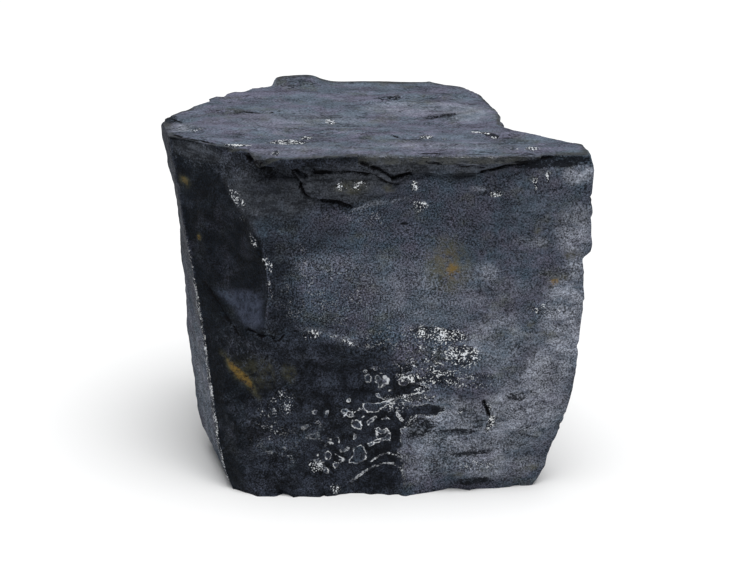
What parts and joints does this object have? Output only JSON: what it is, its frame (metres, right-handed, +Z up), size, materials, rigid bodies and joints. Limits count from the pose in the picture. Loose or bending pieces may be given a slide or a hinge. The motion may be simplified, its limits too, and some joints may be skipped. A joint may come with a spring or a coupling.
{
  "type": "raw black silica block",
  "caption": "Rough natural block of black silica, broken flat on top and in front, with ledges, flake scars and a level base to stand on.",
  "frame": {"origin": "centre of the underside of the stone's box, on the surface it stands on", "axes": "+Z up through the top bedding plane, X along the broad front, the front faces -Y"},
  "size_m": [0.1816, 0.129, 0.158],
  "materials": {
    "stone": "blue-grey weathered skin over black fresh rock, fine grain, white mineral rims and crust, ochre stains"
  },
  "bodies": {
    "root": {"silica_block": "stone"}
  },
  "joints": []
}
